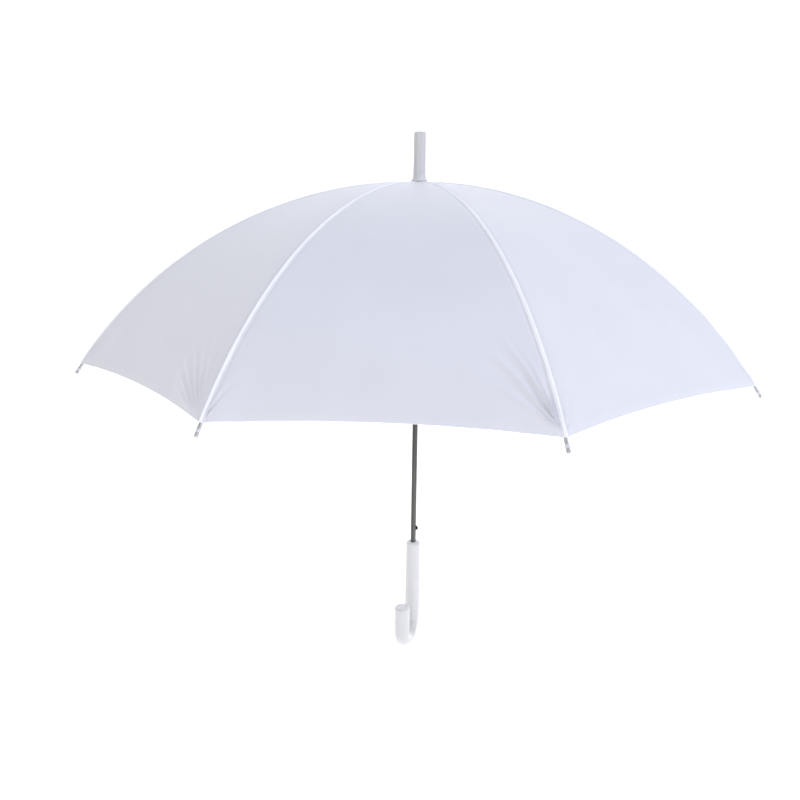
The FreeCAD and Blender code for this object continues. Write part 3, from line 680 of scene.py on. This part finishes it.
def wrap_thread(name, centre, along, radius, turns, spread):
    """Thread wound round a bar: a closed helical tube."""
    side = along.orthogonal().normalized()
    other = along.cross(side)
    steps = turns * TURN_STEPS
    points = []
    for n in range(steps + 1):
        angle = 2 * math.pi * n / TURN_STEPS
        shift = along * (spread * (n / steps - 0.5))
        away = side * (radius * math.cos(angle))
        points.append(centre + shift + away + other * (radius * math.sin(angle)))
    vertices, faces = [], []
    around = THREAD_SIDES
    for n, point in enumerate(points):
        ahead = points[min(n + 1, len(points) - 1)] - points[max(n - 1, 0)]
        ahead.normalize()
        first = ahead.cross(along).normalized()
        second = ahead.cross(first)
        for k in range(around):
            angle = 2 * math.pi * k / around
            away = first * math.cos(angle) + second * math.sin(angle)
            vertices.append(point + away * THREAD_RADIUS)
    for n in range(len(points) - 1):
        for k in range(around):
            a, b = n * around + k, n * around + (k + 1) % around
            faces.append((a, b, b + around, a + around))
    faces.append(tuple(range(around - 1, -1, -1)))
    faces.append(tuple(range(len(vertices) - around, len(vertices))))
    return new_object(name, vertices, faces, thread)


def make_sewing():
    for rib in RIBS:
        plane = PLANES[rib]
        corner = plane.on_arc(RIB_END, 0.0)
        along = plane.tangent(RIB_END)
        centre = corner + along * CORNER_WRAP_PLACE
        wrap = wrap_thread(f"corner_thread_{rib}", centre, along, **CORNER_WRAP)
        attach(wrap, f"rib_{rib}")
        for count, slope in enumerate(RIB_TIE_SLOPES, start=1):
            centre = plane.on_arc(slope, RIB_TIE_LIFT)
            tie = wrap_thread(f"rib_tie_{rib}_{count}", centre, plane.tangent(slope), **RIB_TIE)
            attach(tie, f"rib_{rib}")
            straighten(tie)


# ------------------------------------------------------------------ stage, light and camera

def make_stage():
    """A pale floor that curves up into a backdrop."""
    low = CAD_BOX[0][2] - STAGE_BELOW
    profile = [(STAGE_FRONT, low)]
    for n in range(STAGE_BEND_STEPS + 1):
        angle = math.pi / 2 * n / STAGE_BEND_STEPS
        y = STAGE_BACK - STAGE_BEND + STAGE_BEND * math.sin(angle)
        profile.append((y, low + STAGE_BEND - STAGE_BEND * math.cos(angle)))
    profile.append((STAGE_BACK, low + STAGE_HEIGHT))
    vertices = [(x, y, z) for y, z in profile for x in (-STAGE_HALF_WIDTH, STAGE_HALF_WIDTH)]
    faces = [(2 * n, 2 * n + 1, 2 * n + 3, 2 * n + 2) for n in range(len(profile) - 1)]
    floor = new_object("studio_floor", vertices, faces, make_floor_paint())


def area_light(name, position, size, power, color):
    data = bpy.data.lights.new(name, "AREA")
    data.shape = "DISK"
    data.size = size
    data.energy = power
    data.color = color
    light = bpy.data.objects.new(name, data)
    bpy.context.collection.objects.link(light)
    light.location = position
    towards = Vector(LIGHT_TARGET) - Vector(position)
    light.rotation_euler = towards.to_track_quat("-Z", "Y").to_euler()


def make_lights():
    world = bpy.data.worlds.new("studio_sky")
    bpy.context.scene.world = world
    world.use_nodes = True
    tree = world.node_tree
    light = tree.nodes["Background"]
    light.inputs["Color"].default_value = (1.0, 0.995, 1.0, 1.0)
    light.inputs["Strength"].default_value = SKY_STRENGTH
    # seen past the stage, the sky is as white as the paint
    white = add_node(tree, "ShaderNodeBackground")
    white.inputs["Color"].default_value = (1.0, 1.0, 1.0, 1.0)
    rays = add_node(tree, "ShaderNodeLightPath")
    either = add_node(tree, "ShaderNodeMixShader")
    tree.links.new(rays.outputs["Is Camera Ray"], either.inputs[0])
    tree.links.new(light.outputs[0], either.inputs[1])
    tree.links.new(white.outputs[0], either.inputs[2])
    tree.links.new(either.outputs[0], tree.nodes["World Output"].inputs["Surface"])
    for settings in LIGHTS:
        area_light(*settings)


def make_camera():
    forward = Vector((
        -math.sin(CAMERA_AZIMUTH) * math.cos(CAMERA_TILT),
        math.cos(CAMERA_AZIMUTH) * math.cos(CAMERA_TILT),
        -math.sin(CAMERA_TILT),
    ))
    level = Vector((math.cos(CAMERA_AZIMUTH), math.sin(CAMERA_AZIMUTH), 0))
    upright = level.cross(forward)
    right = level * math.cos(CAMERA_ROLL) + upright * math.sin(CAMERA_ROLL)
    above = right.cross(forward)
    aim = Vector((0, 0, AIM_HEIGHT)) + level * AIM_RIGHT
    data = bpy.data.cameras.new("photo_view")
    data.sensor_width = SENSOR_WIDTH
    data.lens = CAMERA_LENS
    data.clip_start = CLIP_START
    camera = bpy.data.objects.new("photo_view", data)
    bpy.context.collection.objects.link(camera)
    turned = Matrix((right, above, -forward)).transposed().to_4x4()
    camera.matrix_world = Matrix.Translation(aim - forward * CAMERA_DISTANCE) @ turned
    bpy.context.scene.camera = camera


# ------------------------------------------------------------------ all together

bpy.context.scene.view_settings.view_transform = "Standard"
paint_cad_nodes()
make_canopy()
make_frame_pieces()
make_sewing()
make_stage()
make_lights()
make_camera()
